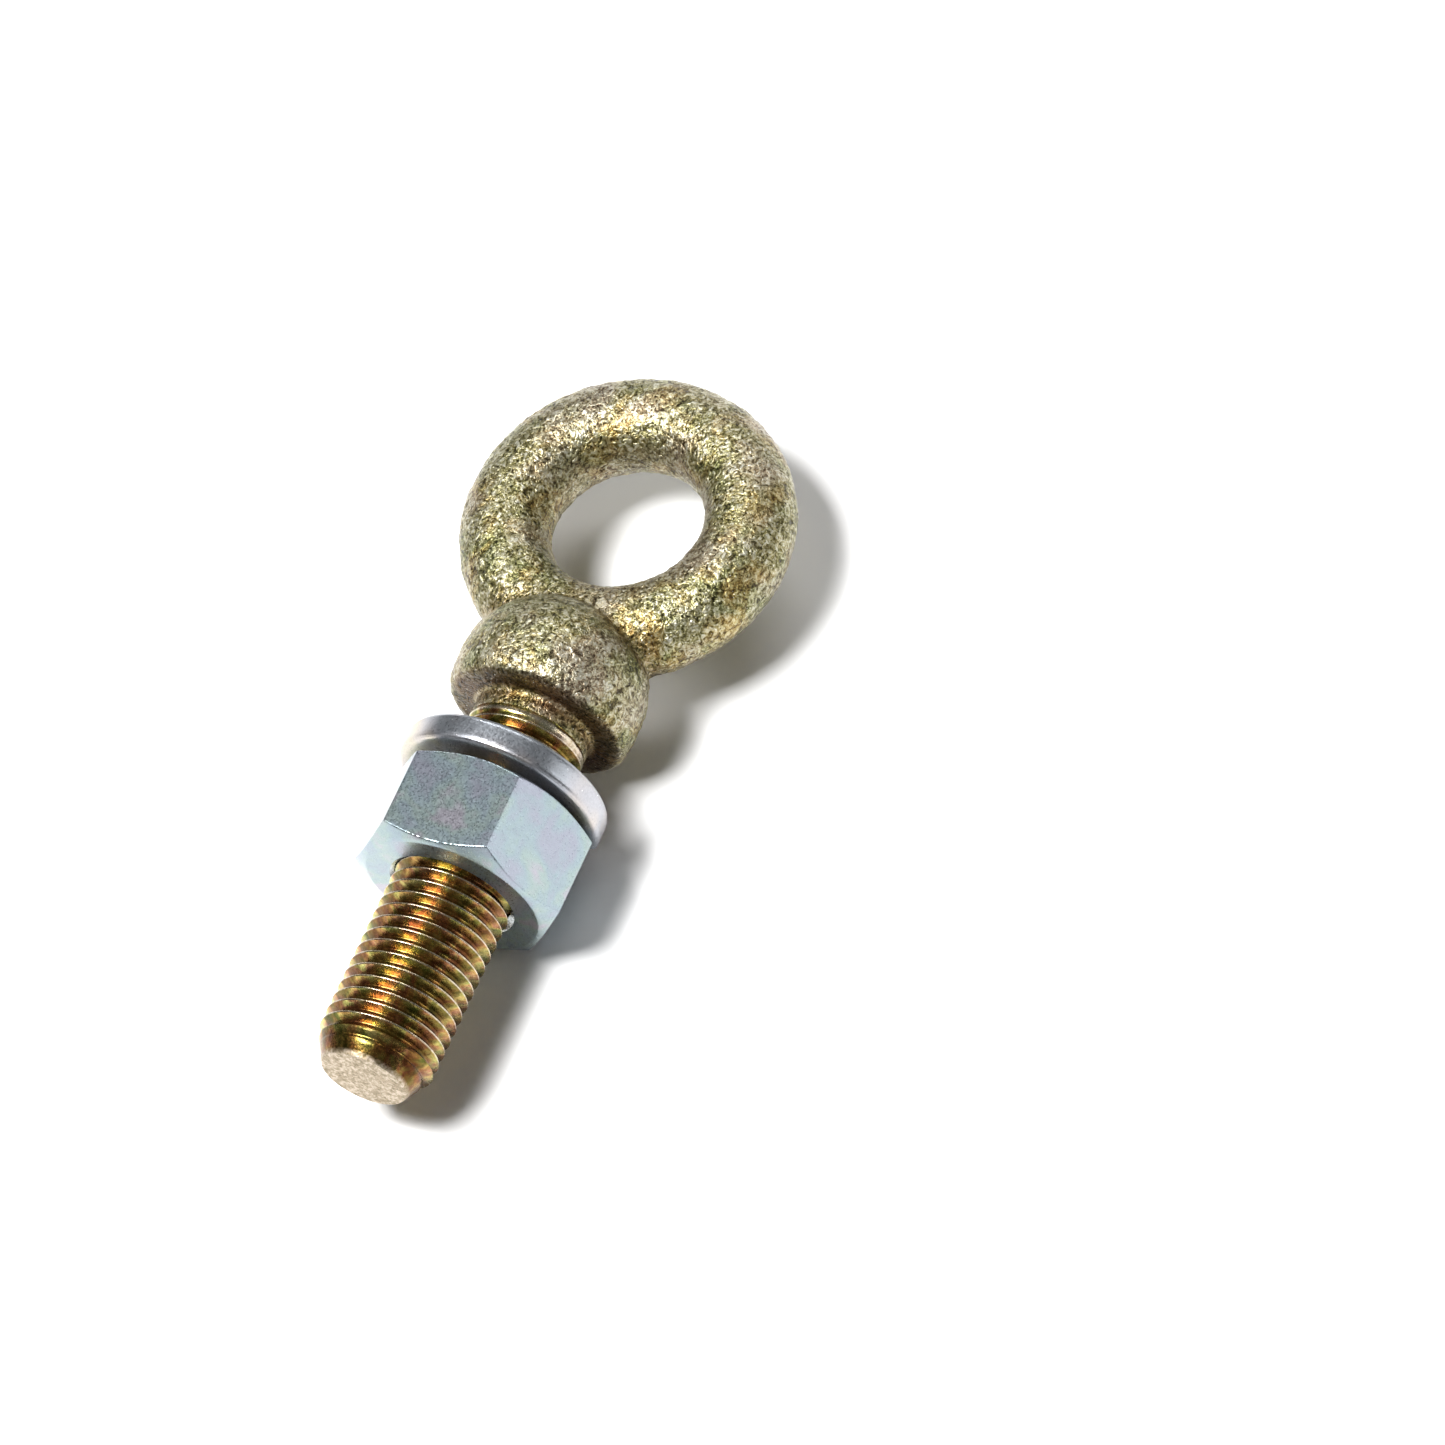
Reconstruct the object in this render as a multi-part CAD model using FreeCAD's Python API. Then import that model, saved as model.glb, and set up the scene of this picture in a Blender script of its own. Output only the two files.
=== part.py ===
import FreeCAD, Part
import math
import os

from FreeCAD import Rotation, Vector

# Shoulder eye bolt with a 7/16-20 UNF shank, its spring washer and its hexagon nut.
# Millimetres. The origin is the centre of the shoulder's seating face, +X runs down the
# shank to the thread's free end, and +Z is square to the plane of the eye.

# Thread, shared by the shank and the nut
threadRadius = 5.556
pitch = 1.27
flankAngle = 30.0
pitchRadius = threadRadius - 0.32476 * pitch
cutterReach = 0.2

# Shank
shankLength = 38.1
crestRadius = threadRadius - 0.026
rootRadius = 4.78
shankFlankGap = 0.05
neckLength = 2.3
pointLength = 2.7
pointRadius = 4.0

# Collar, a barrel between the shank and the eye
collarRadius = 8.65
seatRadius = 7.45
rimHeight = 1.5
shoulderHeight = 6.0
collarHeight = 11.0
collarTopRadius = 4.0
rimInset = 0.35
rimInsetShare = 0.3
wallInset = 0.25

# Eye
eyeRadius = 11.25
eyeBarRadius = 4.15
eyeDrop = 21.3

# Nut
nutAcrossFlats = 17.46
nutThickness = 9.5
nutStart = 9.13
nutBoreRadius = 4.92
nutRootRadius = 5.66
nutFlankGap = 0.10
nutMouthRadius = 5.95
nutFaceRadius = 8.3
nutChamferAngle = 30.0

# Spring washer, wound left-handed and left in its free state
washerStart = 5.03
washerInnerRadius = 5.75
washerOuterRadius = 9.7
washerThickness = 2.7
washerRise = 1.1
washerInnerRound = 0.55
washerOuterRound = 0.25
splitGap = 0.7
splitSlant = 12.0
splitAngle = 60.0

# Working allowances: how far the tools run past the material, and how near is equal
toolMargin = 1.0
spareTurns = 5
mouthOverrun = 0.6
splitOverrun = 8.0
nearly = 0.01

alongShank = Rotation(Vector(0, 1, 0), 90)


def onAxis(shape):
    """Turns a shape built up the Z axis so that it lies down the shank's axis."""
    turned = shape.copy()
    turned.Placement = FreeCAD.Placement(Vector(0, 0, 0), alongShank).multiply(turned.Placement)
    return turned


def revolve(outline):
    """Spins an outline of (radius, height) points about the Z axis."""
    points = [Vector(radius, 0, height) for radius, height in outline]
    wire = Part.makePolygon(points + [points[0]])
    return Part.Face(wire).revolve(Vector(0, 0, 0), Vector(0, 0, 1), 360)


def grooveHalfWidth(radius, gap):
    """Half the width of the gap between two thread ridges, at a radius."""
    slope = math.tan(math.radians(flankAngle))
    return pitch / 4 + gap + (radius - pitchRadius) * slope


def helixSweep(innerHalf, outerHalf, innerRadius, outerRadius, start, turns):
    """A four-sided section carried round a right-hand helix that starts at a height."""
    points = [
        Vector(innerRadius, 0, -innerHalf),
        Vector(outerRadius, 0, -outerHalf),
        Vector(outerRadius, 0, outerHalf),
        Vector(innerRadius, 0, innerHalf),
    ]
    section = Part.makePolygon(points + [points[0]])
    path = Part.Wire(Part.makeHelix(pitch, pitch * turns, innerRadius))
    sweep = path.makePipeShell([section], True, True)
    sweep.translate(Vector(0, 0, start))
    return sweep


def firstGroove():
    """Height of the middle of the shank's first thread groove."""
    return neckLength + grooveHalfWidth(crestRadius, shankFlankGap)


def shankGroove():
    outerRadius = crestRadius + cutterReach
    innerHalf = grooveHalfWidth(rootRadius, shankFlankGap)
    outerHalf = grooveHalfWidth(outerRadius, shankFlankGap)
    turns = math.ceil((shankLength - neckLength) / pitch) + 1
    return helixSweep(innerHalf, outerHalf, rootRadius, outerRadius, firstGroove(), turns)


def pointSlope():
    """How much the point narrows over one millimetre."""
    return (crestRadius - pointRadius) / pointLength


def shank():
    """The shank with its conical point, rooted in the middle of the collar."""
    root = collarHeight / 2
    spare = spareTurns * pitch
    rod = Part.makeCylinder(crestRadius, shankLength + root + spare, Vector(0, 0, -root))
    tip = shankLength - pointLength
    wide = crestRadius + toolMargin
    waste = [
        (wide, tip - toolMargin),
        (crestRadius + pointSlope() * toolMargin, tip - toolMargin),
        (pointRadius, shankLength),
        (0, shankLength),
        (0, shankLength + spare + toolMargin),
        (wide, shankLength + spare + toolMargin),
    ]
    return rod.cut(shankGroove()).cut(revolve(waste))


def collar():
    """The flat seat, the rounded rim and the barrel wall that closes into the eye."""
    seatEdge = Vector(seatRadius, 0, 0)
    rimMiddle = Vector(collarRadius - rimInset, 0, -rimInsetShare * rimHeight)
    rimTop = Vector(collarRadius, 0, -rimHeight)
    wallMiddle = Vector(collarRadius - wallInset, 0, -shoulderHeight)
    wallTop = Vector(collarTopRadius, 0, -collarHeight)
    edges = [
        Part.makeLine(Vector(0, 0, 0), seatEdge),
        Part.Arc(seatEdge, rimMiddle, rimTop).toShape(),
        Part.Arc(rimTop, wallMiddle, wallTop).toShape(),
        Part.makeLine(wallTop, Vector(0, 0, -collarHeight)),
        Part.makeLine(Vector(0, 0, -collarHeight), Vector(0, 0, 0)),
    ]
    return Part.Face(Part.Wire(edges)).revolve(Vector(0, 0, 0), Vector(0, 0, 1), 360)


def eyeRing():
    centre = Vector(-eyeDrop, 0, 0)
    return Part.makeTorus(eyeRadius, eyeBarRadius, centre, Vector(0, 0, 1))


def eyeBolt():
    head = eyeRing().fuse(onAxis(collar()))
    return head.fuse(onAxis(shank())).removeSplitter()


def hexPrism(acrossFlats, height):
    corner = acrossFlats / math.sqrt(3)
    points = []
    for k in range(6):
        turn = math.radians(60 * k)
        points.append(Vector(corner * math.sin(turn), corner * math.cos(turn), 0))
    wire = Part.makePolygon(points + [points[0]])
    return Part.Face(wire).extrude(Vector(0, 0, height))


def nutBlank():
    """The hexagon with both of its faces chamfered round."""
    corner = nutAcrossFlats / math.sqrt(3) + toolMargin
    drop = (corner - nutFaceRadius) * math.tan(math.radians(nutChamferAngle))
    envelope = revolve(
        [
            (0, 0),
            (nutFaceRadius, 0),
            (corner, drop),
            (corner, nutThickness - drop),
            (nutFaceRadius, nutThickness),
            (0, nutThickness),
        ]
    )
    return hexPrism(nutAcrossFlats, nutThickness).common(envelope)


def nutTap():
    """The solid form of the nut's thread, in step with the thread on the shank."""
    skipped = math.floor((nutStart - firstGroove()) / pitch) - 2
    start = firstGroove() + skipped * pitch - nutStart
    outerRadius = nutRootRadius + cutterReach
    innerHalf = grooveHalfWidth(nutBoreRadius, -nutFlankGap)
    outerHalf = grooveHalfWidth(outerRadius, -nutFlankGap)
    turns = math.ceil(nutThickness / pitch) + spareTurns
    groove = helixSweep(innerHalf, outerHalf, nutBoreRadius, outerRadius, start, turns)
    margin = spareTurns * pitch
    rod = Part.makeCylinder(nutRootRadius, nutThickness + 2 * margin, Vector(0, 0, -margin))
    return rod.cut(groove)


def nutMouth(height, side):
    """The 90 degree countersink at one end of the nut's bore, run past both of its edges."""
    depth = nutMouthRadius - nutBoreRadius + mouthOverrun
    outline = [
        (0, height - mouthOverrun * side),
        (nutMouthRadius + mouthOverrun, height - mouthOverrun * side),
        (nutBoreRadius - mouthOverrun, height + depth * side),
        (0, height + depth * side),
    ]
    return revolve(outline)


def hexNut():
    nut = nutBlank().cut(nutTap())
    nut = nut.cut(nutMouth(0, 1)).cut(nutMouth(nutThickness, -1))
    nut.translate(Vector(0, 0, nutStart))
    return onAxis(nut)


def washerSection():
    """The bar's section at the start of the coil, with a heavy inner rounding."""
    width = washerOuterRadius - washerInnerRadius
    bar = Part.makeBox(width, toolMargin, washerThickness, Vector(washerInnerRadius, 0, 0))
    inner = []
    outer = []
    for edge in bar.Edges:
        middle = edge.CenterOfMass
        alongBar = abs(middle.y - toolMargin / 2) < nearly
        if alongBar and middle.x < washerInnerRadius + nearly:
            inner.append(edge)
        elif alongBar and middle.x > washerOuterRadius - nearly:
            outer.append(edge)
    bar = bar.makeFillet(washerInnerRound, inner).makeFillet(washerOuterRound, outer)
    for face in bar.Faces:
        if abs(face.CenterOfMass.y) < nearly:
            return face.OuterWire


def washerHalf(startTurn, endTurn):
    """Part of the coil between two angles, in degrees from the split."""
    middleRadius = (washerInnerRadius + washerOuterRadius) / 2
    height = washerRise * (endTurn - startTurn) / 360
    helix = Part.makeHelix(washerRise, height, middleRadius, 0, True)
    coil = Part.Wire(helix).makePipeShell([washerSection()], True, True)
    coil.translate(Vector(0, 0, washerRise * startTurn / 360))
    coil.rotate(Vector(0, 0, 0), Vector(0, 0, 1), -startTurn)
    return coil


def splitSide(side):
    """A block that removes everything past one slanted end face of the split."""
    reach = washerOuterRadius + toolMargin
    block = Part.makeBox(reach, reach, reach * 2, Vector(0, 0, -reach))
    if side < 0:
        block.translate(Vector(0, -reach, 0))
    block.translate(Vector(0, -side * splitGap / 2, 0))
    middle = Vector(0, 0, (washerThickness + washerRise) / 2)
    block.translate(middle)
    block.rotate(middle, Vector(1, 0, 0), -splitSlant)
    return block


def springWasher():
    first = washerHalf(-splitOverrun, 180).cut(splitSide(1))
    second = washerHalf(180, 360 + splitOverrun).cut(splitSide(-1))
    coil = first.fuse(second).removeSplitter()
    coil.rotate(Vector(0, 0, 0), Vector(0, 0, 1), splitAngle)
    coil.translate(Vector(0, 0, washerStart))
    return onAxis(coil)


def save(shape, name):
    solids = shape.Solids
    if len(solids) != 1 or not solids[0].isValid():
        raise ValueError("{} is not one sound solid".format(name))
    solids[0].exportStep("parts/{}.step".format(name))
    print(name, round(solids[0].Volume, 1), solids[0].BoundBox)


os.makedirs("parts", exist_ok=True)
save(eyeBolt(), "eye_bolt")
save(springWasher(), "spring_washer")
save(hexNut(), "hex_nut")
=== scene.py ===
import math

import bpy
from mathutils import Matrix, Vector


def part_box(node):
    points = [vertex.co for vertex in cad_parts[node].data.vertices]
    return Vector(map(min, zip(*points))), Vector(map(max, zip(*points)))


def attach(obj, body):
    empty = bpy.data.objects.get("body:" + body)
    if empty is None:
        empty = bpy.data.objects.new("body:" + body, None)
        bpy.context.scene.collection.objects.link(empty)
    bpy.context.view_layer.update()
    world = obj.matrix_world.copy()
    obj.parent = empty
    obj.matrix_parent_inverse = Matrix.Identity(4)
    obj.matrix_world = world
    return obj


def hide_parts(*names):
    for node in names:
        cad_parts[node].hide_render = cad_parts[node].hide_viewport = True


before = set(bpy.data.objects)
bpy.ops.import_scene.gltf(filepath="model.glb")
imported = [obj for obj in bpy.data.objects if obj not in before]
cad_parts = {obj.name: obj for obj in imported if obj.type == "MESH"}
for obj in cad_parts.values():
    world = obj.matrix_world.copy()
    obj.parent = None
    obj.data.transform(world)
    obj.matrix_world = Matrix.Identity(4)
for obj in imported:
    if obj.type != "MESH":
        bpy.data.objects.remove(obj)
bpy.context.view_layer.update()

boltLow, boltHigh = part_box("eye_bolt")
washerLow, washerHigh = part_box("spring_washer")
nutLow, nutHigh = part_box("hex_nut")

# pieces are worked in millimetres and brought down to metres at the end
perMetre = 1000.0
nearly = 0.01


def deselectAll():
    if bpy.context.object and bpy.context.object.mode != "OBJECT":
        bpy.ops.object.mode_set(mode="OBJECT")
    bpy.ops.object.select_all(action="DESELECT")


def workOn(piece):
    deselectAll()
    piece.select_set(True)
    bpy.context.view_layer.objects.active = piece


def applyModifiers(piece):
    workOn(piece)
    for modifier in list(piece.modifiers):
        bpy.ops.object.modifier_apply(modifier=modifier.name)


def settle(piece):
    workOn(piece)
    bpy.ops.object.transform_apply(location=True, rotation=True, scale=True)


def mendNormals(piece, merge=0.0):
    workOn(piece)
    bpy.ops.object.mode_set(mode="EDIT")
    bpy.ops.mesh.select_all(action="SELECT")
    if merge:
        bpy.ops.mesh.remove_doubles(threshold=merge)
    bpy.ops.mesh.normals_make_consistent(inside=False)
    bpy.ops.object.mode_set(mode="OBJECT")


def turned(name, outline, segments):
    # a solid of revolution about X, pulled out of one disc station by station
    deselectAll()
    startX, startRadius = outline[0]
    bpy.ops.mesh.primitive_circle_add(
        vertices=segments, radius=startRadius, fill_type="NGON",
        location=(startX, 0, 0), rotation=(0, math.radians(90), 0))
    piece = bpy.context.object
    piece.name = name
    settle(piece)
    bpy.ops.object.mode_set(mode="EDIT")
    bpy.ops.mesh.select_all(action="SELECT")
    lastX, lastRadius = startX, startRadius
    for x, radius in outline[1:]:
        bpy.ops.mesh.extrude_region_move(TRANSFORM_OT_translate={"value": (x - lastX, 0, 0)})
        share = radius / lastRadius
        bpy.ops.transform.resize(value=(1, share, share), center_override=(x, 0, 0))
        lastX, lastRadius = x, radius
    mendNormals(piece)
    return piece


def combine(piece, other, operation):
    # TRANSFER keeps each piece's own material on the faces it brings
    modifier = piece.modifiers.new(operation.lower(), "BOOLEAN")
    modifier.operation = operation
    modifier.solver = "EXACT"
    modifier.object = other
    modifier.material_mode = "TRANSFER"
    applyModifiers(piece)
    bpy.data.objects.remove(other)


def smoothStep(low, high, value):
    share = min(max((value - low) / (high - low), 0.0), 1.0)
    return share * share * (3 - 2 * share)


def softMin(first, second, blend):
    # the smaller of two radii, with the corner between them rounded
    share = min(max(0.5 + (second - first) / (2 * blend), 0.0), 1.0)
    return second + (first - second) * share - blend * share * (1 - share)


def finishPiece(piece, body, node, smoothAngle):
    piece.scale = (1 / perMetre,) * 3
    settle(piece)
    bpy.ops.object.shade_smooth_by_angle(angle=math.radians(smoothAngle))
    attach(piece, body)
    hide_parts(node)
    print(piece.name, "has", len(piece.data.polygons), "faces")


class NodeBench:
    # short hands for wiring one material, with lengths in millimetres

    def __init__(self, name, gain=1.0):
        self.gain = gain
        self.material = bpy.data.materials.new(name)
        self.material.use_nodes = True
        self.tree = self.material.node_tree
        self.shader = self.tree.nodes["Principled BSDF"]
        coords = self.add("TexCoord")
        scaled = self.add("Mapping")
        scaled.inputs["Scale"].default_value = (perMetre,) * 3
        self.join(coords.outputs["Object"], scaled.inputs["Vector"])
        self.place = scaled.outputs["Vector"]

    def add(self, kind):
        return self.tree.nodes.new("ShaderNode" + kind)

    def join(self, source, target):
        self.tree.links.new(source, target)

    def feed(self, value, socket):
        # colours and numbers are set on the socket, and anything else is wired to it
        if isinstance(value, tuple):
            socket.default_value = (*value, 1)
        elif isinstance(value, (int, float)):
            socket.default_value = value
        else:
            self.join(value, socket)

    def noise(self, scale, detail=2.0, rough=0.5, swirl=0.0, offset=None, place=None):
        # the offset moves to another part of the same noise
        node = self.add("TexNoise")
        node.inputs["Scale"].default_value = scale
        node.inputs["Detail"].default_value = detail
        node.inputs["Roughness"].default_value = rough
        node.inputs["Distortion"].default_value = swirl
        place = place or self.place
        if offset:
            shift = self.add("VectorMath")
            shift.inputs[1].default_value = (offset, offset * 0.7, -offset)
            self.join(self.place, shift.inputs[0])
            place = shift.outputs["Vector"]
        self.join(place, node.inputs["Vector"])
        return node.outputs["Fac"]

    def streaks(self, across, along, detail, offset):
        # noise drawn out along the shank
        stretch = self.add("Mapping")
        stretch.inputs["Scale"].default_value = (along, across, across)
        stretch.inputs["Location"].default_value = (offset,) * 3
        self.join(self.place, stretch.inputs["Vector"])
        return self.noise(1.0, detail, place=stretch.outputs["Vector"])

    def ramp(self, source, stops):
        # stops hold either a colour, taken down by the gain, or a plain share
        node = self.add("ValToRGB")
        elements = node.color_ramp.elements
        for index, (position, colour) in enumerate(stops):
            element = elements[index] if index < 2 else elements.new(position)
            element.position = position
            if isinstance(colour, tuple):
                shade = tuple(part * self.gain for part in colour)
            else:
                shade = (colour,) * 3
            element.color = (*shade, 1)
        self.join(source, node.inputs["Fac"])
        return node.outputs["Color"]

    def mix(self, share, first, second, blend="MIX"):
        node = self.add("Mix")
        node.data_type = "RGBA"
        node.blend_type = blend
        # the share and the two colours of a colour mix are sockets 0, 6 and 7
        for value, socket in ((share, 0), (first, 6), (second, 7)):
            self.feed(value, node.inputs[socket])
        return node.outputs[2]

    def multiply(self, first, second, share=1.0):
        return self.mix(share, first, second, "MULTIPLY")

    def math(self, operation, first, second):
        node = self.add("Math")
        node.operation = operation
        self.feed(first, node.inputs[0])
        self.feed(second, node.inputs[1])
        return node.outputs["Value"]

    def span(self, source, low, high, newLow=0.0, newHigh=1.0):
        node = self.add("MapRange")
        for index, value in enumerate((low, high, newLow, newHigh)):
            node.inputs[index + 1].default_value = value
        self.join(source, node.inputs["Value"])
        return node.outputs["Result"]

    def specks(self, scale, dot, where, share):
        # small round dots, left only where another noise is high
        cells = self.add("TexVoronoi")
        cells.inputs["Scale"].default_value = scale
        self.join(self.place, cells.inputs["Vector"])
        dots = self.ramp(cells.outputs["Distance"], dot)
        return self.math("MULTIPLY", dots, self.ramp(where, share))

    def axisRadius(self):
        # distance from the shank's axis
        flatten = self.add("VectorMath")
        flatten.operation = "MULTIPLY"
        flatten.inputs[1].default_value = (0, 1, 1)
        length = self.add("VectorMath")
        length.operation = "LENGTH"
        self.join(self.place, flatten.inputs[0])
        self.join(flatten.outputs["Vector"], length.inputs[0])
        return length.outputs["Value"]

    def axisPlace(self):
        split = self.add("SeparateXYZ")
        self.join(self.place, split.inputs[0])
        return split.outputs["X"]

    def crevice(self, reach):
        # ambient occlusion, darker in hollows; it paints shade into the crease
        node = self.add("AmbientOcclusion")
        node.samples = 8
        node.only_local = True
        node.inputs["Distance"].default_value = reach / perMetre
        return node.outputs["AO"]

    def bump(self, source, depth, strength, under=None):
        node = self.add("Bump")
        node.inputs["Strength"].default_value = strength
        node.inputs["Distance"].default_value = depth / perMetre
        self.join(source, node.inputs["Height"])
        if under is not None:
            self.join(under, node.inputs["Normal"])
        return node.outputs["Normal"]

    def finish(self, colour, metal, rough, normal):
        self.join(colour, self.shader.inputs["Base Color"])
        self.feed(metal, self.shader.inputs["Metallic"])
        self.feed(rough, self.shader.inputs["Roughness"])
        self.join(normal, self.shader.inputs["Normal"])
        return self.material


# the thread shared by the shank and the nut
threadForm = {
    "pitch": 1.27,
    "firstGroove": 2.891,      # where the middle of the shank's first groove is
    "pitchRadius": 5.1437,
    "flankSlope": math.tan(math.radians(30)),
    "blunt": 0.05,             # size of the rounding at roots and crests
    "rootLevel": 0.7,          # share of the root's half width that is level
    "rootEase": (0.7, 1.0),    # across and out, in blunts
    "crestEase": (0.9, 1.2),
    "crestCorner": (0.0, 0.15),
    "stepsPerTurn": 84,
    "spareTurns": 5,
    "turnsBefore": 2,
    "mergeGap": 0.004,
    "cutMargin": 0.0005,
}


def threadWidth(radius, gap):
    # half the gap between two ridges at a radius
    form = threadForm
    return form["pitch"] / 4 + gap + (radius - form["pitchRadius"]) * form["flankSlope"]


def threadOutline(rootRadius, crestRadius, gap):
    # one pitch of the thread, from the middle of one root to the next
    form = threadForm
    pitch, blunt = form["pitch"], form["blunt"]
    rootHalf = threadWidth(rootRadius, gap)
    crestHalf = pitch / 2 - threadWidth(crestRadius, gap)
    path = [(0.0, rootRadius), (rootHalf * form["rootLevel"], rootRadius)]
    across, out = form["rootEase"]
    path.append((rootHalf + blunt * across, rootRadius + blunt * out))
    for across, down in (form["crestEase"], form["crestCorner"]):
        path.append((pitch / 2 - crestHalf - blunt * across, crestRadius - blunt * down))
    path.append((pitch / 2, crestRadius))
    return path + [(pitch - x, radius) for x, radius in reversed(path[:-1])]


def threadedRod(name, low, high, rootRadius, crestRadius, gap):
    # the thread's outline is wound along X, then cut square at both ends
    form = threadForm
    pitch = form["pitch"]
    path = threadOutline(rootRadius, crestRadius, gap)
    turns = math.ceil((high - low) / pitch) + form["spareTurns"]
    lead = math.floor((low - form["firstGroove"]) / pitch) - form["turnsBefore"]
    startX = form["firstGroove"] + lead * pitch
    deselectAll()
    # a small plane merged to one vertex is the pen that draws the outline
    bpy.ops.mesh.primitive_plane_add(size=0.1, location=(startX, 0, -path[0][1]))
    rod = bpy.context.object
    rod.name = name
    settle(rod)
    bpy.ops.object.mode_set(mode="EDIT")
    bpy.ops.mesh.select_all(action="SELECT")
    bpy.ops.mesh.merge(type="CENTER")
    for (x, radius), (nextX, nextRadius) in zip(path, path[1:]):
        bpy.ops.mesh.extrude_vertices_move(
            TRANSFORM_OT_translate={"value": (nextX - x, 0, radius - nextRadius)})
    bpy.ops.object.mode_set(mode="OBJECT")
    winding = rod.modifiers.new("winding", "SCREW")
    winding.axis = "X"
    winding.screw_offset = pitch
    winding.iterations = turns
    winding.steps = form["stepsPerTurn"]
    winding.render_steps = form["stepsPerTurn"]
    applyModifiers(rod)
    mendNormals(rod, merge=form["mergeGap"])
    bpy.ops.object.mode_set(mode="EDIT")
    for x, side in ((low, -1), (high, 1)):
        bpy.ops.mesh.select_all(action="SELECT")
        bpy.ops.mesh.bisect(
            plane_co=(x, 0, 0), plane_no=(side, 0, 0), use_fill=True,
            clear_outer=True, clear_inner=False, threshold=form["cutMargin"])
    mendNormals(rod)
    return rod


boltShape = {
    "barRadius": 4.13,
    "landSquareness": 2.3,     # 2 is a round bar
    "ringSegments": 200,
    "barSegments": 64,
    "collarOutline": [
        (0.0, 7.5), (-0.12, 7.95), (-0.45, 8.35), (-1.1, 8.62), (-2.2, 8.72), (-4.0, 8.72),
        (-5.6, 8.52), (-7.1, 8.0), (-8.5, 7.1), (-9.7, 5.9), (-10.6, 4.6),
    ],
    "collarSegments": 160,
    "skinGrid": 0.215,
    "easeShare": 0.5,
    "creaseSoftening": 7,
    "evenPasses": 3,
    "creaseFade": (-14.5, -11.5),
    "seatFade": (0.3, 0.8),
    "lumpDepth": 0.2,
    "lumpSize": 3.4,
    "grainDepth": 0.24,
    "grainSize": 0.7,
    "skinFade": (1.2, 1.8),    # the rough skin ends on the neck
    "seatDepth": 0.35,         # share of the roughness left on the machined seat
    "seatFrom": -0.5,
    "seatReach": 7.3,
    "neckRadius": 5.46,
    "neckLength": 1.9,
    "neckRoot": 4.0,
    "neckFillet": [(0.25, 0.0), (0.06, 0.06), (0.0, 0.25)],
    "neckTaper": 0.25,
    "taperStart": 1.0,
    "rootRadius": 4.78,
    "crestRadius": 5.52,
    "flankGap": 0.05,
    "runoutGap": 0.35,
    "runoutLength": 0.9,
    "pointLength": 2.7,
    "pointRadius": 4.0,
    "smoothAngle": 50,
    "skinGain": 0.54,
    "creviceReach": 3.8,
    "threadGain": 0.85,
}


def squareInnerLand(ring, centreX, centreRadius):
    # the hole's wall is fuller than the outside of the bar, with a land left by the punch
    power = boltShape["landSquareness"]
    bar = boltShape["barRadius"]
    for vertex in ring.data.vertices:
        x, y, z = vertex.co
        around = math.hypot(x - centreX, y)
        out = around - centreRadius
        if out < 0:
            angle = math.atan2(z, out)
            wide, tall = abs(math.cos(angle)), abs(math.sin(angle))
            fuller = (wide ** power + tall ** power) ** (-1 / power)
            newOut = bar * fuller * math.cos(angle)
            share = (centreRadius + newOut) / around
            vertex.co = (
                centreX + (x - centreX) * share, y * share, bar * fuller * math.sin(angle))


def soften(head):
    # only the crease between eye and collar and the edges of the collar are eased
    shape = boltShape
    group = head.vertex_groups.new(name="crease")
    for vertex in head.data.vertices:
        x = vertex.co.x
        weight = smoothStep(*shape["creaseFade"], x) * (1 - smoothStep(*shape["seatFade"], x))
        group.add([vertex.index], weight, "REPLACE")
    ease = head.modifiers.new("ease", "SMOOTH")
    ease.factor = shape["easeShare"]
    ease.iterations = shape["creaseSoftening"]
    ease.vertex_group = "crease"
    even = head.modifiers.new("even", "SMOOTH")
    even.factor = shape["easeShare"]
    even.iterations = shape["evenPasses"]
    applyModifiers(head)
    head.vertex_groups.clear()


def roughen(head):
    # broad lumps and fine grain, held off the neck and mostly off the seat
    shape = boltShape
    skin = head.vertex_groups.new(name="skin")
    for vertex in head.data.vertices:
        x, y, z = vertex.co
        rough = 1.0
        if x > shape["seatFrom"] and math.hypot(y, z) < shape["seatReach"]:
            rough = shape["seatDepth"]
        skin.add([vertex.index], rough * (1 - smoothStep(*shape["skinFade"], x)), "REPLACE")
    for name, size, depth in (
            ("lumps", shape["lumpSize"], shape["lumpDepth"]),
            ("grain", shape["grainSize"], shape["grainDepth"])):
        texture = bpy.data.textures.new(name, "CLOUDS")
        texture.noise_scale = size
        texture.noise_depth = 2
        modifier = head.modifiers.new(name, "DISPLACE")
        modifier.texture = texture
        modifier.texture_coords = "LOCAL"
        modifier.strength = depth
        modifier.mid_level = 0.5
        modifier.vertex_group = "skin"
    applyModifiers(head)
    head.vertex_groups.clear()


def forgedHead():
    shape = boltShape
    outer = boltHigh.y * perMetre
    centreX = boltLow.x * perMetre + outer
    centreRadius = outer - shape["barRadius"]
    deselectAll()
    bpy.ops.mesh.primitive_torus_add(
        major_radius=centreRadius, minor_radius=shape["barRadius"],
        major_segments=shape["ringSegments"], minor_segments=shape["barSegments"],
        location=(centreX, 0, 0))
    head = bpy.context.object
    head.name = "forgedEyeBolt"
    settle(head)
    squareInnerLand(head, centreX, centreRadius)
    neck = [(shape["neckLength"], shape["neckRadius"])]
    neck += [(x, shape["neckRadius"] + rise) for x, rise in shape["neckFillet"]]
    collar = turned("collar", neck + shape["collarOutline"], shape["collarSegments"])
    workOn(head)
    collar.select_set(True)
    bpy.ops.object.join()
    grid = head.modifiers.new("skin", "REMESH")
    grid.mode = "VOXEL"
    grid.voxel_size = shape["skinGrid"]
    applyModifiers(head)
    soften(head)
    roughen(head)
    return head


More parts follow.
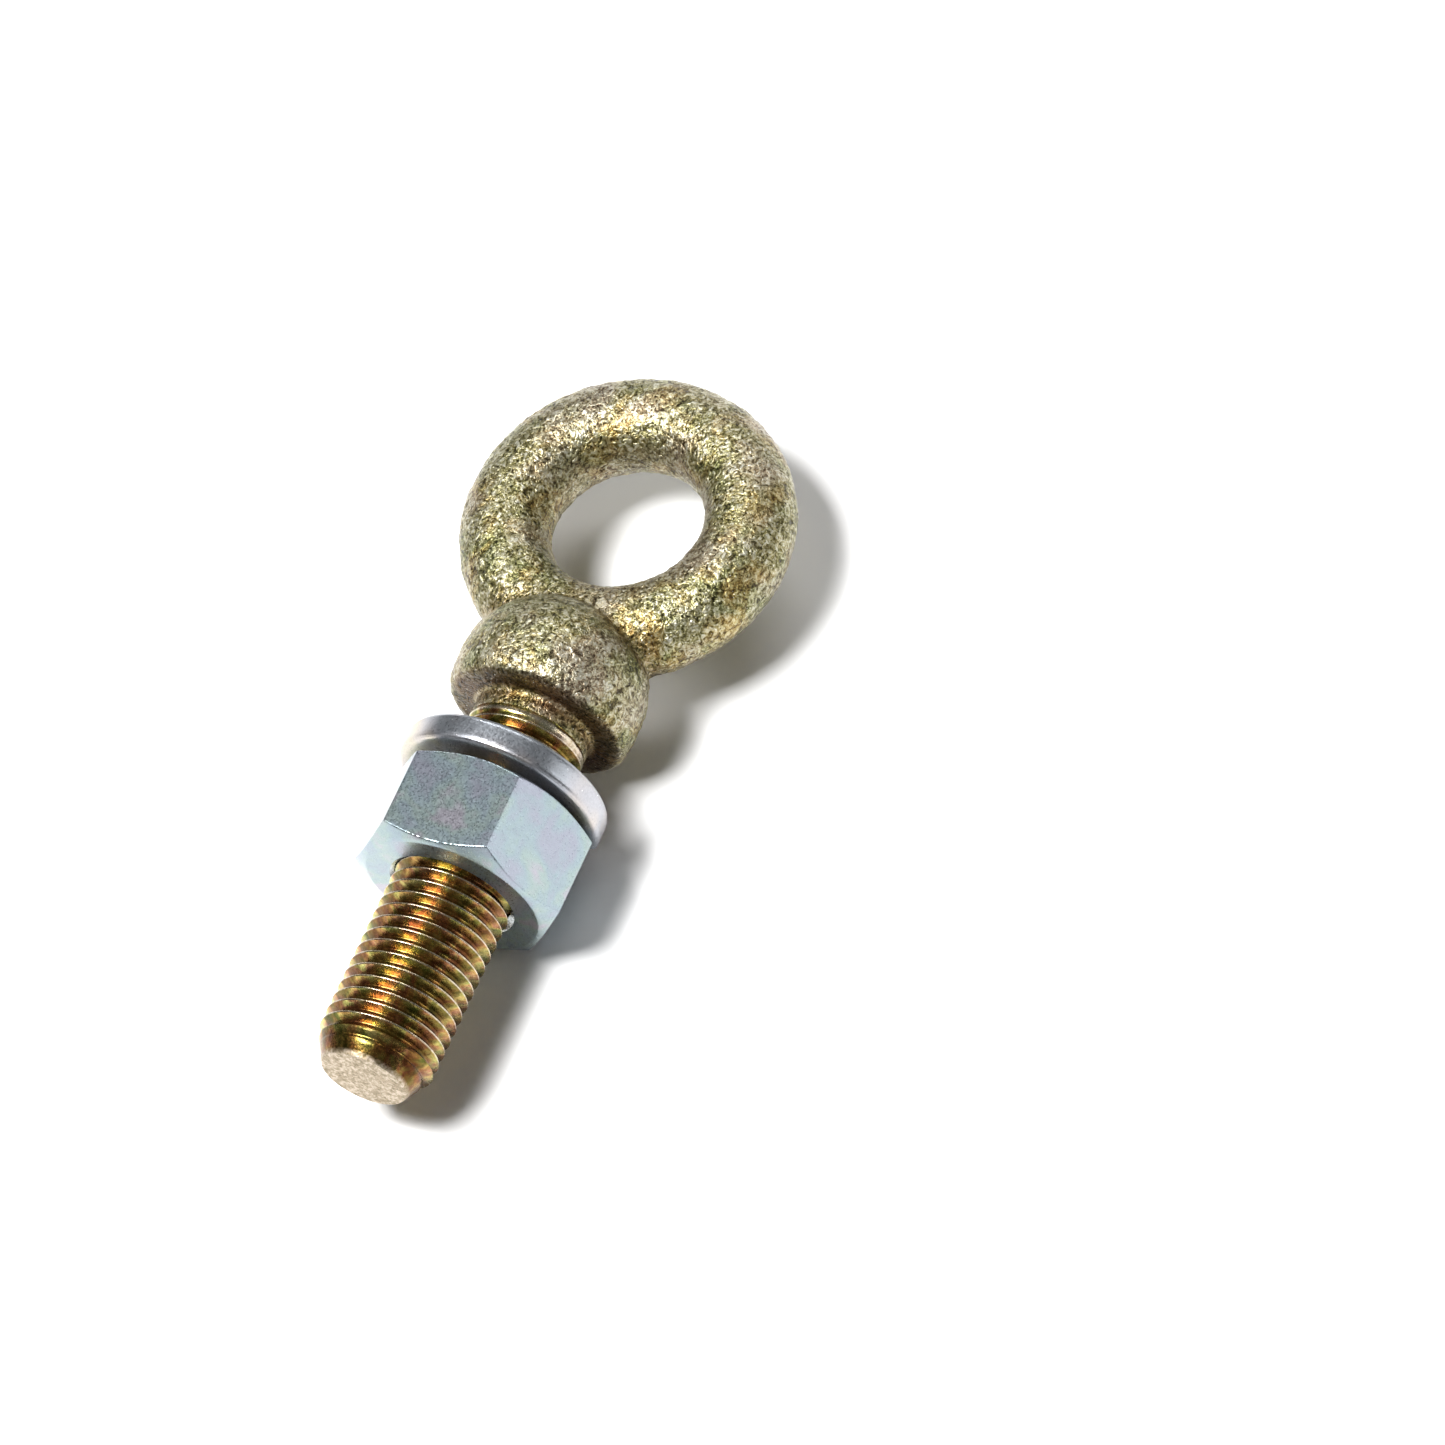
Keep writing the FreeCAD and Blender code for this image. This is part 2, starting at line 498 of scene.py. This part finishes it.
def shankRadius(x, radius):
    # the thread fades in below the plain neck and ends in a cone
    shape = boltShape
    length = boltHigh.x * perMetre
    tip = length - shape["pointLength"]
    neckEnd = shape["neckLength"] + shape["runoutGap"]
    faded = smoothStep(neckEnd, neckEnd + shape["runoutLength"], x)
    radius = shape["crestRadius"] + (radius - shape["crestRadius"]) * faded
    if x < shape["neckLength"]:
        widening = smoothStep(shape["taperStart"], shape["neckLength"], x)
        radius = shape["neckRadius"] - shape["neckTaper"] + shape["neckTaper"] * widening
    if x > tip:
        share = (x - tip) / shape["pointLength"]
        narrow = shape["crestRadius"] + (shape["pointRadius"] - shape["crestRadius"]) * share
        radius = min(radius, narrow)
    return radius


def threadedShank():
    shape = boltShape
    shank = threadedRod(
        "shank", -shape["neckRoot"], boltHigh.x * perMetre, shape["rootRadius"],
        shape["crestRadius"], shape["flankGap"])
    for vertex in shank.data.vertices:
        x, y, z = vertex.co
        radius = math.hypot(y, z)
        if radius > nearly / 10:
            share = shankRadius(x, radius) / radius
            vertex.co = (x, y * share, z * share)
    return shank


def makeEyeBolt(materials):
    head = forgedHead()
    head.data.materials.append(materials[0])
    shank = threadedShank()
    shank.data.materials.append(materials[1])
    print("head", len(head.data.polygons), "shank", len(shank.data.polygons))
    combine(head, shank, "UNION")
    finishPiece(head, "bolt", "eye_bolt", boltShape["smoothAngle"])


def yellowSkin():
    # yellow-passivated zinc over forging scale
    bench = NodeBench("yellowZincSkin", boltShape["skinGain"])
    worm = bench.noise(1.75, 2.5, 0.55, swirl=1.2)
    grain = bench.noise(3.8, 2.0, 0.6, swirl=0.8, offset=7.0)
    height = bench.math(
        "ADD", bench.math("MULTIPLY", worm, 0.62), bench.math("MULTIPLY", grain, 0.38))
    olive = bench.ramp(height, [
        (0.38, (0.07, 0.06, 0.02)), (0.46, (0.28, 0.25, 0.09)),
        (0.53, (0.6, 0.55, 0.31)), (0.62, (1.0, 0.97, 0.78))])
    pink = bench.ramp(height, [
        (0.37, (0.12, 0.07, 0.045)), (0.45, (0.44, 0.32, 0.24)),
        (0.53, (0.84, 0.72, 0.56)), (0.62, (1.0, 0.94, 0.86))])
    green = bench.ramp(height, [
        (0.39, (0.02, 0.025, 0.012)), (0.47, (0.13, 0.15, 0.04)),
        (0.55, (0.38, 0.4, 0.14)), (0.64, (0.85, 0.84, 0.5))])
    gold = bench.ramp(height, [
        (0.38, (0.1, 0.05, 0.012)), (0.47, (0.42, 0.25, 0.06)),
        (0.55, (0.8, 0.6, 0.22)), (0.64, (1.0, 0.88, 0.5))])
    pinkPatch = bench.noise(0.16, 2.0, 0.5, swirl=0.3, offset=3.0)
    greenPatch = bench.noise(0.3, 3.0, 0.6, swirl=0.4, offset=21.0)
    goldPatch = bench.noise(0.27, 3.0, 0.6, swirl=0.5, offset=40.0)
    colour = bench.mix(bench.ramp(greenPatch, [(0.47, 0.0), (0.66, 0.75)]), olive, green)
    colour = bench.mix(bench.ramp(goldPatch, [(0.48, 0.0), (0.66, 0.7)]), colour, gold)
    colour = bench.mix(bench.ramp(pinkPatch, [(0.48, 0.0), (0.66, 0.6)]), colour, pink)
    # rust and painted shade in the crease, and painted shade on the seat
    # painted shade with a rust tint: the crease is darkened where ambient occlusion finds a
    # hollow
    crease = bench.ramp(bench.crevice(boltShape["creviceReach"]), [(0.58, 1.0), (0.95, 0.0)])
    colour = bench.mix(crease, colour, bench.multiply(colour, (0.52, 0.3, 0.1)))
    # painted shade: the seat under the collar is darkened, as on a shadowed face
    seat = bench.math(
        "MULTIPLY", bench.span(bench.axisPlace(), -0.4, -0.1),
        bench.span(bench.axisRadius(), 5.7, 6.1))
    colour = bench.mix(seat, colour, bench.multiply(colour, (0.42, 0.36, 0.33)))
    glint = bench.specks(2.6, [(0.06, 1.0), (0.18, 0.0)], grain, [(0.48, 0.0), (0.56, 0.8)])
    colour = bench.mix(glint, colour, (0.85, 0.84, 0.76))
    rough = bench.span(grain, 0.35, 0.65, 0.25, 0.44)
    normal = bench.bump(worm, depth=0.2, strength=0.9)
    normal = bench.bump(grain, depth=0.07, strength=0.8, under=normal)
    return bench.finish(colour, 0.85, rough, normal)


def yellowThread():
    # the same plating over a cut thread, brighter and in oily bands of colour, with painted
    # reflections as dark and bright stripes along the shank
    bench = NodeBench("yellowZincThread", boltShape["threadGain"])
    radius = bench.axisRadius()
    patch = bench.noise(0.42, 3.0, 0.55, swirl=0.6, offset=11.0)
    fine = bench.noise(4.0, 2.0, 0.6, swirl=0.3)
    bands = bench.ramp(patch, [
        (0.34, (0.3, 0.34, 0.08)), (0.44, (0.6, 0.5, 0.15)), (0.52, (0.62, 0.36, 0.12)),
        (0.6, (0.52, 0.24, 0.13)), (0.7, (0.62, 0.6, 0.2))])
    # painted reflections: dark and bright stripes drawn along the shank
    reflectionStripes = bench.streaks(across=0.42, along=0.012, detail=2.5, offset=3.4)
    bands = bench.mix(
        bench.ramp(reflectionStripes, [(0.42, 0.85), (0.56, 0.0)]), bands,
        bench.multiply(bands, (0.22, 0.17, 0.1)))
    bands = bench.mix(
        bench.ramp(reflectionStripes, [(0.56, 0.0), (0.66, 0.6)]), bands, (0.62, 0.66, 0.25))
    # brown roots, pale crests and a dull end
    root = bench.multiply(bands, (0.3, 0.17, 0.06), share=0.75)
    colour = bench.mix(bench.span(radius, 4.8, 5.3), root, bands)
    crest = bench.span(radius, 5.46, 5.52, 0.0, 0.65)
    colour = bench.mix(crest, colour, (0.72, 0.64, 0.54))
    tip = bench.span(bench.axisPlace(), 37.6, 38.0)
    dull = bench.ramp(fine, [(0.35, (0.3, 0.24, 0.14)), (0.6, (0.66, 0.56, 0.45))])
    colour = bench.mix(tip, colour, dull)
    grime = bench.ramp(
        bench.noise(1.3, 3.0, 0.6, swirl=0.5, offset=5.0), [(0.42, 0.65), (0.56, 0.0)])
    colour = bench.mix(grime, colour, bench.multiply(colour, (0.35, 0.3, 0.15), share=0.8))
    rough = bench.math(
        "ADD", bench.span(fine, 0.3, 0.7, 0.17, 0.32), bench.math("MULTIPLY", tip, 0.25))
    normal = bench.bump(fine, depth=0.03, strength=0.6)
    waves = bench.noise(0.9, 2.0, 0.5, swirl=0.4)
    normal = bench.bump(waves, depth=0.05, strength=0.6, under=normal)
    return bench.finish(colour, 0.95, rough, normal)


washerShape = {
    "innerRadius": 5.75,
    "thickness": 2.7,
    "innerRound": 0.6,
    "outerRound": 0.3,
    "roundSteps": 5,
    "splitGap": 0.75,
    "splitSlant": math.tan(math.radians(12)),
    "splitTurn": math.radians(240),
    "slantReach": math.radians(30),
    "endRound": 0.12,
    "endRoundSteps": 2,
    "endAngle": math.radians(50),
    "steps": 160,
    "smoothAngle": 35,
    "gain": 0.8,
}


def washerAngle(x, radius, angle, full):
    # the ends lean over, more the nearer a point is to the split
    shape = washerShape
    middle = (washerLow.x + washerHigh.x) / 2 * perMetre
    lean = (x - middle) * shape["splitSlant"] / radius
    nearStart = 1 - smoothStep(0, shape["slantReach"], angle)
    nearEnd = 1 - smoothStep(0, shape["slantReach"], full - angle)
    return angle + lean * (nearStart + nearEnd)


def washerBar(inner, outer):
    # the bar's section, as a rounded outline with no face
    shape = washerShape
    thick = shape["thickness"]
    deselectAll()
    bpy.ops.mesh.primitive_plane_add(
        size=1, location=(washerHigh.x * perMetre - thick / 2, 0, (inner + outer) / 2),
        rotation=(math.radians(90), 0, 0))
    bar = bpy.context.object
    bar.name = "springWasher"
    bar.scale = (thick, outer - inner, 1)
    settle(bar)
    for radius, rounding in ((inner, shape["innerRound"]), (outer, shape["outerRound"])):
        bpy.ops.object.mode_set(mode="OBJECT")
        for vertex in bar.data.vertices:
            vertex.select = abs(vertex.co.z - radius) < nearly
        bpy.ops.object.mode_set(mode="EDIT")
        bpy.ops.mesh.select_mode(type="VERT")
        bpy.ops.mesh.bevel(offset=rounding, segments=shape["roundSteps"], affect="VERTICES")
    bpy.ops.mesh.select_all(action="SELECT")
    bpy.ops.mesh.delete(type="ONLY_FACE")
    bpy.ops.object.mode_set(mode="OBJECT")
    return bar


def leanEnds(washer, full, halfGap):
    # angles run the way the coil was wound, from its first end
    turns = []
    for vertex in washer.data.vertices:
        x, y, z = vertex.co
        turns.append((vertex, math.atan2(-y, z) % (2 * math.pi)))
    for vertex, angle in turns:
        x, y, z = vertex.co
        radius = math.hypot(y, z)
        if angle > full + nearly:
            angle -= 2 * math.pi
        newAngle = washerAngle(x, radius, angle, full) + washerShape["splitTurn"] + halfGap
        vertex.co = (x, -radius * math.sin(newAngle), radius * math.cos(newAngle))


def makeWasher(material):
    shape = washerShape
    inner, outer = shape["innerRadius"], washerHigh.z * perMetre
    rise = washerHigh.x * perMetre - washerLow.x * perMetre - shape["thickness"]
    washer = washerBar(inner, outer)
    halfGap = shape["splitGap"] / ((inner + outer) / 2) / 2
    full = 2 * math.pi - 2 * halfGap
    coil = washer.modifiers.new("coil", "SCREW")
    coil.axis = "X"
    coil.angle = full
    coil.screw_offset = -rise
    coil.steps = shape["steps"]
    coil.render_steps = shape["steps"]
    applyModifiers(washer)
    bpy.ops.object.mode_set(mode="EDIT")
    bpy.ops.mesh.select_all(action="DESELECT")
    bpy.ops.mesh.select_non_manifold(extend=False, use_boundary=True, use_wire=False)
    bpy.ops.mesh.edge_face_add()
    bpy.ops.object.mode_set(mode="OBJECT")
    leanEnds(washer, full, halfGap)
    ends = washer.modifiers.new("ends", "BEVEL")
    ends.width = shape["endRound"]
    ends.segments = shape["endRoundSteps"]
    ends.limit_method = "ANGLE"
    ends.angle_limit = shape["endAngle"]
    applyModifiers(washer)
    mendNormals(washer)
    washer.data.materials.append(material)
    finishPiece(
        washer, "washer", "spring_washer", shape["smoothAngle"])


def washerSkin():
    # bright zinc with a warm blush on one side
    bench = NodeBench("brightZincWasher", washerShape["gain"])
    cloud = bench.noise(0.16, 2.0, 0.5, swirl=0.3, offset=2.0)
    tint = bench.ramp(cloud, [
        (0.38, (0.62, 0.66, 0.71)), (0.48, (0.68, 0.68, 0.72)), (0.56, (0.8, 0.74, 0.7)),
        (0.66, (0.87, 0.8, 0.62))])
    fine = bench.noise(5.0, 3.0, 0.65, swirl=0.2)
    mottle = bench.ramp(fine, [(0.35, (0.8, 0.8, 0.81)), (0.62, (1.0, 1.0, 1.0))])
    glint = bench.specks(
        1.6, [(0.05, 0.9), (0.11, 0.0)], bench.noise(1.1, 1.0), [(0.52, 0.0), (0.56, 1.0)])
    colour = bench.mix(glint, bench.multiply(tint, mottle), (1.0, 1.0, 1.0))
    rough = bench.span(fine, 0.3, 0.7, 0.26, 0.4)
    normal = bench.bump(fine, depth=0.03, strength=0.5)
    normal = bench.bump(bench.noise(0.7, 2.0), depth=0.06, strength=0.35, under=normal)
    return bench.finish(colour, 0.95, rough, normal)


nutShape = {
    "faceRadius": 8.28,
    "faceEdge": [(0.0, -0.22), (0.0, -0.1), (0.012, -0.03), (0.04, 0.03)],
    "chamferSlope": math.tan(math.radians(30)),
    "chamferSteps": 22,
    "firstStep": 0.06,
    "beltHalf": 2,
    "segments": 360,
    "blankSpare": 0.25,
    "edgeRound": 0.1,
    "cornerRound": 0.14,
    "mouthRadius": 5.95,
    "mouthSpare": 0.6,
    "mouthStep": 0.3,
    "mouthSegments": 168,
    "boreRadius": 4.92,
    "tapRadius": 5.62,
    "tapSpare": 2,
    "boreFlat": 0.11,
    "smoothAngle": 24,
    "gain": 0.8,
}


def hexagonRadius(angle, flat, cornerRound):
    sector = math.radians(60)
    fromFlat = (angle + sector / 2) % sector - sector / 2
    here = flat / math.cos(fromFlat)
    nextFace = flat / math.cos(sector - abs(fromFlat))
    return softMin(here, nextFace, cornerRound)


def nutOutline(low, high, widest):
    # stations of the turned blank, close together where the chamfers cut the flats
    shape = nutShape
    face, slope = shape["faceRadius"], shape["chamferSlope"]
    drop = (widest - face) * slope
    rise = [drop * k / shape["chamferSteps"] for k in range(1, shape["chamferSteps"] + 1)]
    side = [(x, face + out) for x, out in shape["faceEdge"]]
    side += [(step, face + step / slope) for step in rise if step > shape["firstStep"]]
    middle, half = (low + high) / 2, shape["beltHalf"]
    near = [(low + x, radius) for x, radius in side]
    belt = [(middle - half, widest), (middle, widest), (middle + half, widest)]
    far = [(high - x, radius) for x, radius in reversed(side)]
    return near + belt + far


def mouthOutline(x, side):
    # a countersink that runs past both of its edges
    shape = nutShape
    spare, step, mouth = shape["mouthSpare"], shape["mouthStep"], shape["mouthRadius"]
    return [
        (x - spare * side, mouth + spare),
        (x, mouth), (x + step * side, mouth - step),
        (x + (mouth - shape["boreRadius"] + spare) * side, shape["boreRadius"] - spare)]


def makeNut(materials):
    shape = nutShape
    low, high = nutLow.x * perMetre, nutHigh.x * perMetre
    flat = nutHigh.z * perMetre
    widest = flat / math.cos(math.radians(30)) + shape["blankSpare"]
    nut = turned("hexagonNut", nutOutline(low, high, widest), shape["segments"])
    # the turned blank is pressed in to the hexagon, and its edges stay round
    for vertex in nut.data.vertices:
        x, y, z = vertex.co
        radius = math.hypot(y, z)
        limit = hexagonRadius(math.atan2(y, z), flat, shape["cornerRound"])
        share = softMin(radius, limit, shape["edgeRound"]) / radius
        vertex.co = (x, y * share, z * share)
    nut.data.materials.append(materials[0])
    tap = threadedRod(
        "tap", low - shape["tapSpare"], high + shape["tapSpare"], shape["boreRadius"],
        shape["tapRadius"], -shape["boreFlat"])
    for x, side in ((low, 1), (high, -1)):
        mouth = turned("mouth", mouthOutline(x, side), shape["mouthSegments"])
        mouth.data.materials.append(materials[1])
        combine(nut, mouth, "DIFFERENCE")
    tap.data.materials.append(materials[1])
    combine(nut, tap, "DIFFERENCE")
    finishPiece(nut, "nut", "hex_nut", shape["smoothAngle"])


def nutSkin():
    # blue-bright zinc, satin, with a little cloud and a few specks
    bench = NodeBench("blueZincNut", nutShape["gain"])
    cloud = bench.noise(0.22, 3.0, 0.55, swirl=0.3)
    tint = bench.ramp(cloud, [
        (0.36, (0.5, 0.53, 0.62)), (0.47, (0.47, 0.58, 0.63)), (0.55, (0.5, 0.62, 0.6)),
        (0.64, (0.62, 0.6, 0.67))])
    fine = bench.noise(6.0, 3.0, 0.6, swirl=0.2)
    mottle = bench.ramp(fine, [(0.35, (0.84, 0.84, 0.85)), (0.65, (1.0, 1.0, 1.0))])
    dot = bench.specks(
        0.85, [(0.03, 0.75), (0.07, 0.0)], bench.noise(0.9, 1.0), [(0.5, 0.0), (0.55, 1.0)])
    colour = bench.mix(dot, bench.multiply(tint, mottle), (0.09, 0.1, 0.12))
    rough = bench.span(fine, 0.3, 0.7, 0.24, 0.38)
    normal = bench.bump(fine, depth=0.02, strength=0.5)
    normal = bench.bump(bench.noise(0.8, 2.0), depth=0.06, strength=0.35, under=normal)
    return bench.finish(colour, 0.9, rough, normal)


def nutBore():
    # bare bright thread, lightest on its crests
    bench = NodeBench("blueZincBore")
    fine = bench.noise(5.0, 2.0, 0.6, swirl=0.3)
    crest = bench.ramp(
        bench.span(bench.axisRadius(), 4.9, 5.05),
        [(0.2, (0.92, 0.94, 0.95)), (0.8, (0.6, 0.63, 0.63))])
    shade = bench.ramp(fine, [(0.3, (0.8, 0.8, 0.8)), (0.65, (1.0, 1.0, 1.0))])
    rough = bench.span(fine, 0.3, 0.7, 0.14, 0.26)
    normal = bench.bump(fine, depth=0.02, strength=0.5)
    return bench.finish(bench.multiply(crest, shade), 1.0, rough, normal)


cameraLook = {
    "roll": math.radians(25.23),       # the shank's lean, seen by the camera
    "tilt": math.radians(26.0),        # its tip towards the viewer
    "eyeTurn": math.radians(24.0),     # the eye's turn about the shank
    "distance": 0.9,
    "frameWidth": 0.128,
    "sensor": 36.0,
    "seatToCentre": (0.01662, 0.0),    # from the seat to the frame's middle, right and up
    "clip": (0.05, 20),
}


def viewBasis():
    # its columns are the camera's right, up and backward directions
    roll, tilt, turn = (cameraLook[key] for key in ("roll", "tilt", "eyeTurn"))
    shank = Vector((
        -math.cos(tilt) * math.sin(roll), -math.cos(tilt) * math.cos(roll), math.sin(tilt)))
    across = Vector((math.cos(roll), -math.sin(roll), 0))
    facing = shank.cross(across)
    eyeAcross = across * math.cos(turn) + facing * math.sin(turn)
    return Matrix((shank, eyeAcross, shank.cross(eyeAcross)))


def makeCamera(basis):
    look = cameraLook
    data = bpy.data.cameras.new("camera")
    data.sensor_width = look["sensor"]
    data.lens = look["sensor"] * look["distance"] / look["frameWidth"]
    data.clip_start, data.clip_end = look["clip"]
    camera = bpy.data.objects.new("camera", data)
    bpy.context.scene.collection.objects.link(camera)
    camera.rotation_mode = "QUATERNION"
    camera.rotation_quaternion = basis.to_quaternion()
    camera.location = basis @ Vector((*look["seatToCentre"], look["distance"]))
    bpy.context.scene.camera = camera


studioLook = {
    "floorSize": 4,
    "paper": (0.93, 0.93, 0.93, 1),
    "paperRoughness": 0.9,
    "paperShine": 0.1,
    "air": (0.8, 0.82, 0.86, 1),
    "airStrength": 0.1,
    "lightDistance": 0.8,
    # name, then where it stands to the right, up and towards the viewer, size and power
    "lights": [
        ("key", (-0.6, 0.45, 1.0), (0.34, 0.26), 13.5),
        ("fill", (1.0, 0.1, 0.35), (0.14, 0.5), 1.2),
        ("top", (0.1, 1.0, 0.15), (0.6, 0.12), 2.6),
    ],
}


def areaLight(name, direction, size, power):
    data = bpy.data.lights.new(name, "AREA")
    data.shape = "RECTANGLE"
    data.size, data.size_y = size
    data.energy = power
    light = bpy.data.objects.new(name, data)
    bpy.context.scene.collection.objects.link(light)
    light.location = direction.normalized() * studioLook["lightDistance"]
    light.rotation_mode = "QUATERNION"
    light.rotation_quaternion = direction.to_track_quat("Z", "Y")


def makeStudio(basis):
    look = studioLook
    deselectAll()
    bpy.ops.mesh.primitive_plane_add(size=look["floorSize"], location=(0, 0, washerLow.z))
    floor = bpy.context.object
    floor.name = "floor"
    paper = bpy.data.materials.new("floorPaper")
    paper.use_nodes = True
    shader = paper.node_tree.nodes["Principled BSDF"]
    shader.inputs["Base Color"].default_value = look["paper"]
    shader.inputs["Roughness"].default_value = look["paperRoughness"]
    shader.inputs["Specular IOR Level"].default_value = look["paperShine"]
    floor.data.materials.append(paper)
    world = bpy.data.worlds.new("studio")
    world.use_nodes = True
    air = world.node_tree.nodes["Background"]
    air.inputs["Color"].default_value = look["air"]
    air.inputs["Strength"].default_value = look["airStrength"]
    bpy.context.scene.world = world
    for name, stand, size, power in look["lights"]:
        areaLight(name, basis @ Vector(stand), size, power)
    bpy.context.scene.view_settings.view_transform = "Standard"


boltMaterials = [yellowSkin(), yellowThread()]
nutMaterials = [nutSkin(), nutBore()]
washerMaterial = washerSkin()
print("materials made")
makeEyeBolt(boltMaterials)
makeWasher(washerMaterial)
makeNut(nutMaterials)
print("pieces made")
basis = viewBasis()
makeCamera(basis)
makeStudio(basis)
print("studio made")
